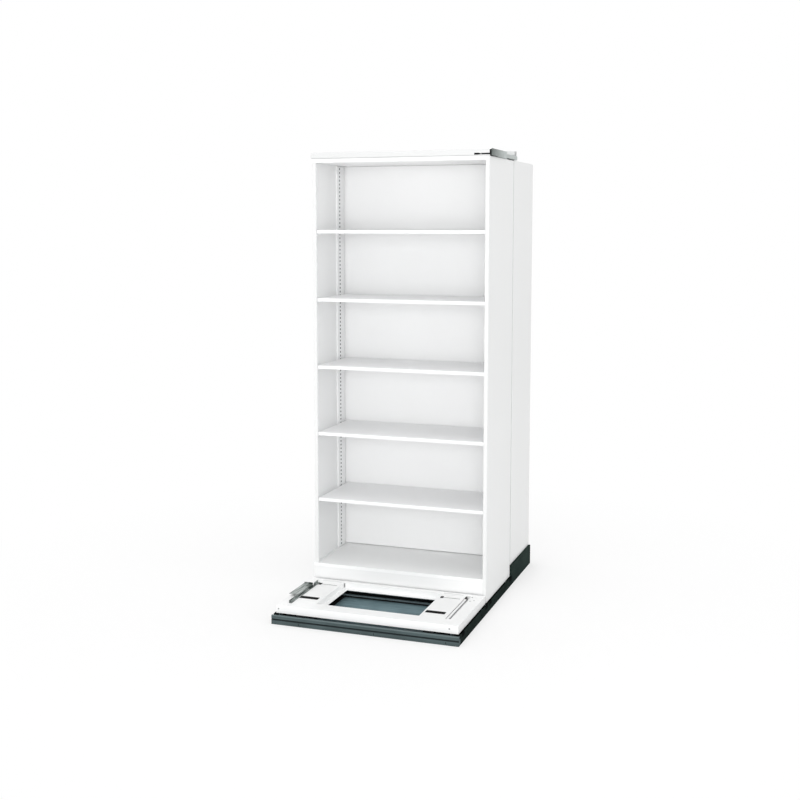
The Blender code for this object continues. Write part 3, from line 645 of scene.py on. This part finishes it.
def recess_shade(coat, low, high):
    """The recess at the right of the front carriage: grey painted shade, with a black painted shade mark at
    its rear end.
    """
    wall = low[0] + box_width
    top = high[2] - recess_top
    recess = ((wall - recess_bite, low[1] + recess_end, low[2] - past),
              (high[0] - recess_edge, high[1] - recess_end, top))
    notch = ((wall - notch_bites[0], high[1] - notch_length, low[2] - past),
             (wall + notch_bites[1], high[1] + recess_end, top))
    return patch(patch(coat, [recess], recess_painted_shade_colour), [notch], painted_shade_black)


def wheel_box_finish(name):
    """A wheel box: a lighter white as painted light, grey painted shade along its slit, and black painted
    shade inside.
    """
    low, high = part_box(name)
    slit_line = high[1] - key_setback - key_depth / 2
    slit = ((low[0] + slit_ends[0], slit_line - slit_half, high[2] - slit_depth),
            (low[0] + slit_ends[1], slit_line + slit_half, high[2] + past))
    coat = patch(powder_coat(f"{name}_coat", low_painted_light_colour), [slit], slit_painted_shade_colour)
    if name == "front_wheel_box_right":
        coat = recess_shade(coat, low, high)
    return patch(coat, wheel_box_insides(name.split("_")[0]), painted_shade_black, True)


def carriage_finish(name):
    """A carriage: a lighter white as painted light, black painted shade under its wheel boxes, and painted
    shade on the front one's right side.
    """
    coat = powder_coat(f"{name}_coat", low_painted_light_colour)
    if name == "front_carriage":
        low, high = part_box(name)
        shaded_side_face = ((high[0] - side_face_skin, low[1] - past, low[2] - past),
                     (high[0] + past, high[1] + past, high[2] - side_face_top))
        coat = patch(coat, [shaded_side_face], white_colour)
    return patch(coat, wheel_box_insides(name.split("_")[0]), painted_shade_black, True)


def upright_finish(name):
    """A slotted upright: a lighter white as painted light, and black painted shade behind its slots."""
    coat = powder_coat(f"{name}_coat", shelf_painted_light_colour)
    return patch(coat, [upright_inside(name, 0.0)], painted_shade_black, True)


def side_panel_finish(name):
    """A side of the middle cabinet: painted light on its inner face, and black painted shade behind the
    uprights' slots.
    """
    low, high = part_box(name)
    side = "left" if name.endswith("left") else "right"
    if side == "left":
        x_range = (low[0] + panel_skin, high[0] + past)
    else:
        x_range = (low[0] - past, high[0] - panel_skin)
    inner = ((x_range[0], low[1] + panel_front_skin, low[2] - past),
             (x_range[1], low[1] + panel_inner_depth, high[2] + past))
    coat = patch(powder_coat(f"{name}_coat", white_colour), [inner], painted_light_white)
    spaces = [upright_inside(f"upright_{end}_{side}", panel_bite) for end in ("front", "rear")]
    return patch(coat, spaces, painted_shade_black, True)


# Finishes of the nodes that don't simply wear their slot's material, by the start of the node's name
own_finishes = {
    "top_strip": strip_finish,
    "side_plate_": side_plate_finish,
    "rail_": rail_finish,
    "joining_bracket": bracket_finish,
    "guide_arm": arm_finish,
    "front_bar": bar_finish,
    "front_wheel_box_": wheel_box_finish,
    "middle_wheel_box_": wheel_box_finish,
    "front_carriage": carriage_finish,
    "middle_carriage": carriage_finish,
    "upright_": upright_finish,
    "middle_side_left": side_panel_finish,
    "middle_end_panel": side_panel_finish,
}
# The lighter whites given here are painted light on parts that the lamps leave darker
other_materials = {
    "middle_back": "panel_paint",
    "middle_top": "low_paint",
    "middle_bottom_shelf": "low_paint",
    "middle_base_pan": "kick_paint",
    "floor_pan": "dark_paint",
    "plinth": "plinth_paint",
    "front_wheel_left_": "turned_steel",
    "front_wheel_right_": "turned_steel",
    "middle_wheel_left_": "turned_steel",
    "middle_wheel_right_": "turned_steel",
}


def finish_of(name, slot):
    """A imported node's material."""
    for start, make_finish in own_finishes.items():
        if name.startswith(start):
            return make_finish(name)
    for start, material in other_materials.items():
        if name.startswith(start):
            return materials[material]
    return materials[slot]


def dress_nodes():
    """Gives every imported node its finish."""
    for part in frame["record"]["subparts"]:
        material = finish_of(part["node"], part["material_slot"])
        for slot in frame["nodes"][part["node"]].material_slots:
            slot.material = material


def add_piece(name, mesh_builder, material, body, smooth=True):
    """Makes an object from a bmesh in the part's places, and lets it ride on a body."""
    bmesh.ops.recalc_face_normals(mesh_builder, faces=mesh_builder.faces)
    mesh = bpy.data.meshes.new(name)
    mesh_builder.to_mesh(mesh)
    mesh_builder.free()
    if smooth:
        mesh.shade_smooth()
        mesh.set_sharp_from_angle(angle=sharp_angle)
    mesh.materials.append(materials[material])
    piece = bpy.data.objects.new(name, mesh)
    bpy.context.scene.collection.objects.link(piece)
    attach(piece, body)


def turn(mesh_builder, centre, direction, profile, sides, closed=False):
    """Revolves a profile of (radius, height) about a direction from a centre."""
    turned = Vector(direction).to_track_quat("Z", "Y").to_matrix().to_4x4()
    placed = Matrix.Translation(centre) @ turned
    angles = [2 * math.pi * i / sides for i in range(sides)]
    rings = []
    for radius, height in profile:
        places = [(0, 0, height)]
        if radius:
            places = [(radius * math.cos(angle), radius * math.sin(angle), height) for angle in angles]
        rings.append([mesh_builder.verts.new(placed @ Vector(place)) for place in places])
    pairs = list(zip(rings, rings[1:]))
    if closed:
        pairs.append((rings[-1], rings[0]))
    for lower, upper in pairs:
        for i in range(sides):
            j = (i + 1) % sides
            corners = [lower[i % len(lower)], lower[j % len(lower)],
                       upper[j % len(upper)], upper[i % len(upper)]]
            mesh_builder.faces.new(list(dict.fromkeys(corners)))


def soft_block(mesh_builder, low, high, edge=small_edge):
    """A box with its edges turned over by a small round."""
    low, high = Vector(low), Vector(high)
    matrix = Matrix.Translation((low + high) / 2) @ Matrix.Diagonal((*(high - low), 1))
    made = bmesh.ops.create_cube(mesh_builder, size=1.0, matrix=matrix)
    edges = list({e for v in made["verts"] for e in v.link_edges})
    bmesh.ops.bevel(mesh_builder, geom=edges, offset=edge, segments=edge_segments, affect="EDGES",
                    profile=edge_profile)


def prism(mesh_builder, ends, outline):
    """A solid with an outline of (y, z) points between two places along x."""
    rings = [[mesh_builder.verts.new((x, y, z)) for y, z in outline] for x in ends]
    for i in range(len(outline)):
        j = (i + 1) % len(outline)
        mesh_builder.faces.new((rings[0][i], rings[0][j], rings[1][j], rings[1][i]))
    mesh_builder.faces.new(rings[0][::-1])
    mesh_builder.faces.new(rings[1])


def screws(name, direction, centres, size):
    """Domed screw heads with a round socket on the front row, at centres on a face."""
    radius, height = size
    profile = [(radius * radius_share, height * height_share) for radius_share, height_share in head_shares]
    mesh_builder = bmesh.new()
    for centre in centres:
        turn(mesh_builder, Vector(centre), direction, profile, screw_sides)
    add_piece(name, mesh_builder, "fixing_steel", "front_row")


def carriage_screws():
    """The screws in the front carriage's face and rim, and the joint screws of the bracket."""
    low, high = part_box("front_carriage")
    front = low[1] - seat_gap
    top = high[2] + seat_gap
    screws("carriage_front_screws", (0, -1, 0),
           [(x, front, front_screw_level) for x in front_screw_places], front_screw_size)
    screws("carriage_rim_screws", (0, 0, 1),
           [(x, y, top) for x, y in rim_screw_places], rim_screw_size)
    low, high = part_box("joining_bracket")
    line = high[0] - bracket_screw_inset
    start = low[1] + bracket_screw_start
    foot = low[2] + bracket_sheet + seat_gap
    places = [(line, start + i * bracket_screw_pitch, foot) for i in range(bracket_screw_count)]
    screws("bracket_screws", (0, 0, 1), places, bracket_screw_size)


def wheel_box_laps():
    """The folded laps of the front wheel boxes on the carriage's rim."""
    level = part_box("front_carriage")[1][2] + seat_gap
    for side in ("left", "right"):
        low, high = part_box(f"front_wheel_box_{side}")
        mesh_builder = bmesh.new()
        soft_block(mesh_builder, (low[0] + lap_ends[0], high[1] + lap_start, level),
                   (low[0] + lap_ends[1], high[1] + lap_depth, level + lap_sheet))
        add_piece(f"wheel_box_lap_{side}", mesh_builder, "white_paint", "front_row")


def wheel_box_brush(row, side):
    """The black dust brush in the long slot of a wheel box, with its trim on the box's top."""
    low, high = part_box(f"{row}_wheel_box_{side}")
    start = low[1] + slot_setback
    end = start + slot_depth
    skin = high[2] - box_sheet - brush_gap
    trim = high[2] + seat_gap
    outline = [(start - brush_wing, skin - brush_sheet), (end + brush_wing, skin - brush_sheet),
               (end + brush_wing, skin), (end - slot_margin, skin), (end - slot_margin, trim),
               (end + trim_width, trim), (end + trim_width, trim + trim_sheet),
               (start - trim_width, trim + trim_sheet), (start - trim_width, trim),
               (start + slot_margin, trim), (start + slot_margin, skin), (start - brush_wing, skin)]
    left = low[0] + slot_start
    mesh_builder = bmesh.new()
    prism(mesh_builder, (left + slot_margin, left + slot_length - slot_margin), outline)
    add_piece(f"{row}_wheel_box_brush_{side}", mesh_builder, "rubber", f"{row}_row",
              smooth=False)


def wheel_box_plug(row, side):
    """The plug in the keyhole of a wheel box, with a collar on the front row."""
    low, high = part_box(f"{row}_wheel_box_{side}")
    left = low[0] + key_start
    right = left + key_width
    front = high[1] - key_setback - key_depth
    rear = front + key_depth
    mesh_builder = bmesh.new()
    soft_block(mesh_builder, (left + slot_margin, front + slot_margin, high[2] - plug_depth),
               (right - slot_margin, rear - slot_margin, high[2] + plug_rise))
    if row == "front":
        soft_block(mesh_builder, (left - collar_width, front - collar_width, high[2] + seat_gap),
                   (right + collar_width, rear + collar_width, high[2] + collar_rise))
    add_piece(f"{row}_wheel_box_plug_{side}", mesh_builder, "rubber", f"{row}_row")


def recess_ridge():
    """The low ridge in the recess at the right of the front carriage, a lighter white as painted light with
    grey painted shade on its right side.
    """
    low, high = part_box("front_wheel_box_right")
    left = low[0] + box_width + ridge_gap
    right = left + ridge_width
    shaded_side = ((right - ridge_side_skin, low[1], low[2] - past),
                   (right + ridge_side_past, high[1], high[2] - ridge_side_top))
    patch(materials["ridge_paint"], [shaded_side], recess_painted_shade_colour)
    mesh_builder = bmesh.new()
    soft_block(mesh_builder, (left, low[1] + ridge_front_gap, ledge_floor),
               (right, high[1] - ridge_rear_gap, high[2] - ridge_drop), ridge_edge)
    add_piece("recess_ridge", mesh_builder, "ridge_paint", "front_row")


def deck_covers(row):
    """The black covers on a deck under the two wheel boxes."""
    low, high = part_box(f"deck_{row}")
    level = high[2] + seat_gap
    left_ends = (low[0] + cover_end_gap, left_cover_end)
    right_ends = (right_cover_end, high[0] - cover_end_gap)
    for side, ends in (("left", left_ends), ("right", right_ends)):
        mesh_builder = bmesh.new()
        soft_block(mesh_builder, (ends[0], low[1] + cover_side_gap, level),
                   (ends[1], high[1] - cover_side_gap, level + cover_sheet))
        add_piece(f"{row}_deck_cover_{side}", mesh_builder, "rubber", "base")


def top_soffit():
    """The flat sheet under the middle cabinet's top, and its strip behind the right side's return."""
    low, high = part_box("middle_top")
    under = low[2] - soffit_sheet
    rear = high[1] - soffit_rear_gap
    level = low[2] - seat_gap
    strip_left = soffit_half + soffit_joint
    mesh_builder = bmesh.new()
    soft_block(mesh_builder, (-soffit_half, low[1] + soffit_front_gap, under), (soffit_half, rear, level))
    soft_block(mesh_builder, (strip_left, low[1] + return_depth, under), (wall_face, rear, level))
    # The soffit wears the lightest copy of the white paint, as painted light
    add_piece("top_soffit", mesh_builder, "soffit_paint", "middle_row")


def shelf_end(mesh_builder, name, side):
    """A folded end that closes a bottom shelf to a side panel."""
    low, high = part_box(name)
    left, right = sorted((side * (high[0] + seat_gap), side * wall_face))
    soft_block(mesh_builder, (left, low[1] + return_depth, high[2] - filler_sheet),
               (right, high[1] - filler_rear_gap, high[2] - seat_gap))


def shelf_fillers():
    """The ends of the bottom shelves; the middle one's right end has a nose in the side's return."""
    low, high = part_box("middle_bottom_shelf")
    mesh_builder = bmesh.new()
    shelf_end(mesh_builder, "middle_bottom_shelf", 1)
    soft_block(mesh_builder, (high[0] + nose_side_gap, low[1] + nose_front_gap, high[2] - filler_sheet),
               (wall_face, low[1] + return_depth - filler_joint, high[2] - seat_gap))
    add_piece("middle_bottom_shelf_ends", mesh_builder, "low_paint", "middle_row")
    mesh_builder = bmesh.new()
    for side in (-1, 1):
        shelf_end(mesh_builder, "rear_bottom_shelf", side)
    add_piece("rear_bottom_shelf_ends", mesh_builder, "low_paint", "base")


def retaining_rings(row, side):
    """A retaining ring on the shaft at both faces of its two wheels."""
    low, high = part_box(f"{row}_shaft_{side}")
    x = (low[0] + high[0]) / 2
    z = (low[2] + high[2]) / 2
    inner = (high[0] - low[0]) / 2 + seat_gap
    outer = (high[0] - low[0]) / 2 + ring_height
    profile = [(inner, 0), (outer, 0), (outer, ring_thickness), (inner, ring_thickness)]
    mesh_builder = bmesh.new()
    for wheel in ("front", "rear"):
        wheel_low, wheel_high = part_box(f"{row}_wheel_{side}_{wheel}")
        for y, sign in ((wheel_low[1], -1), (wheel_high[1], 1)):
            centre = Vector((x, y + sign * seat_gap, z))
            turn(mesh_builder, centre, (0, sign, 0), profile, ring_sides, closed=True)
    add_piece(f"{row}_retaining_rings_{side}", mesh_builder, "fixing_steel",
              f"{row}_wheel_set_{side}")


def strip_insert():
    """The black insert behind the slot at the right end of the top strip."""
    low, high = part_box("top_strip")
    left = high[0] - strip_slot_length - insert_overlap
    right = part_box("guide_arm")[1][0] - arm_width - insert_arm_gap
    mesh_builder = bmesh.new()
    soft_block(mesh_builder, (left, low[1] + insert_depths[0], low[2] + insert_levels[0]),
               (right, low[1] + insert_depths[1], low[2] + insert_levels[1]), insert_edge)
    add_piece("strip_slot_insert", mesh_builder, "rubber", "middle_row")


def make_floor():
    """A white floor that lights the object from below and shows the camera soft shadows near it."""
    mesh = bpy.data.meshes.new("floor")
    corners = [(-floor_reach, -floor_reach), (floor_reach, -floor_reach),
               (floor_reach, floor_reach), (-floor_reach, floor_reach)]
    mesh.from_pydata([(x, y, floor_level) for x, y in corners], [], [(0, 1, 2, 3)])
    floor = bpy.data.objects.new("floor", mesh)
    bpy.context.scene.collection.objects.link(floor)
    material, tree, shader, place = start_material("floor_white", floor_roughness, specular=0.0)
    shader.inputs["Base Color"].default_value = (*floor_colour, 1)
    nodes, links = tree.nodes, tree.links
    dim = nodes.new("ShaderNodeBsdfDiffuse")
    dim.inputs["Color"].default_value = (*floor_near_colour, 1)
    glow = nodes.new("ShaderNodeEmission")
    glow.inputs["Strength"].default_value = floor_near_glow
    near = nodes.new("ShaderNodeAddShader")
    links.new(dim.outputs["BSDF"], near.inputs[0])
    links.new(glow.outputs["Emission"], near.inputs[1])
    far = nodes.new("ShaderNodeEmission")
    length = nodes.new("ShaderNodeVectorMath")
    length.operation = "LENGTH"
    links.new(place, length.inputs[0])
    seen = nodes.new("ShaderNodeMixShader")
    links.new(spread(tree, length.outputs["Value"], 0.0, 1.0, shadow_reach), seen.inputs["Fac"])
    links.new(near.outputs["Shader"], seen.inputs[1])
    links.new(far.outputs["Emission"], seen.inputs[2])
    either = nodes.new("ShaderNodeMixShader")
    links.new(nodes.new("ShaderNodeLightPath").outputs["Is Camera Ray"], either.inputs["Fac"])
    links.new(shader.outputs["BSDF"], either.inputs[1])
    links.new(seen.outputs["Shader"], either.inputs[2])
    links.new(either.outputs["Shader"], nodes["Material Output"].inputs["Surface"])
    mesh.materials.append(material)


def make_world():
    """White to the camera and in reflections, and a plain level of soft light everywhere else."""
    world = bpy.data.worlds.new("studio")
    bpy.context.scene.world = world
    world.use_nodes = True
    tree = world.node_tree
    background = tree.nodes["Background"]
    background.inputs["Color"].default_value = (1, 1, 1, 1)
    rays = tree.nodes.new("ShaderNodeLightPath").outputs
    direct = math_node(tree, "MAXIMUM", rays["Is Camera Ray"], rays["Is Glossy Ray"])
    direct = math_node(tree, "MAXIMUM", direct, rays["Is Transmission Ray"])
    tree.links.new(spread(tree, direct, world_level, 1.0, (0.0, 1.0)), background.inputs["Strength"])


def area_lamp(name, place, target, size, power):
    """A rectangular lamp that looks at its target."""
    light = bpy.data.lights.new(name, "AREA")
    light.shape = "RECTANGLE"
    light.size, light.size_y = size
    light.energy = power
    lamp = bpy.data.objects.new(name, light)
    lamp.location = place
    lamp.rotation_euler = (Vector(target) - Vector(place)).to_track_quat("-Z", "Y").to_euler()
    bpy.context.scene.collection.objects.link(lamp)


def make_camera():
    """The photograph's camera."""
    camera = bpy.data.cameras.new("camera")
    camera.sensor_width = sensor_width
    camera.lens = camera_focus / frame_pixels * sensor_width
    camera.shift_y = -camera_shift
    item = bpy.data.objects.new("camera", camera)
    item.location = camera_place
    item.rotation_euler = (math.pi / 2 + camera_pitch, 0, camera_yaw)
    bpy.context.scene.collection.objects.link(item)
    bpy.context.scene.camera = item


dress_nodes()
carriage_screws()
wheel_box_laps()
for row in ("front", "middle"):
    deck_covers(row)
    for side in ("left", "right"):
        wheel_box_brush(row, side)
        wheel_box_plug(row, side)
        retaining_rings(row, side)
recess_ridge()
top_soffit()
shelf_fillers()
strip_insert()
make_floor()
make_world()
for lamp in lamps:
    area_lamp(**lamp)
make_camera()

view = bpy.context.scene.view_settings
view.view_transform = "Standard"
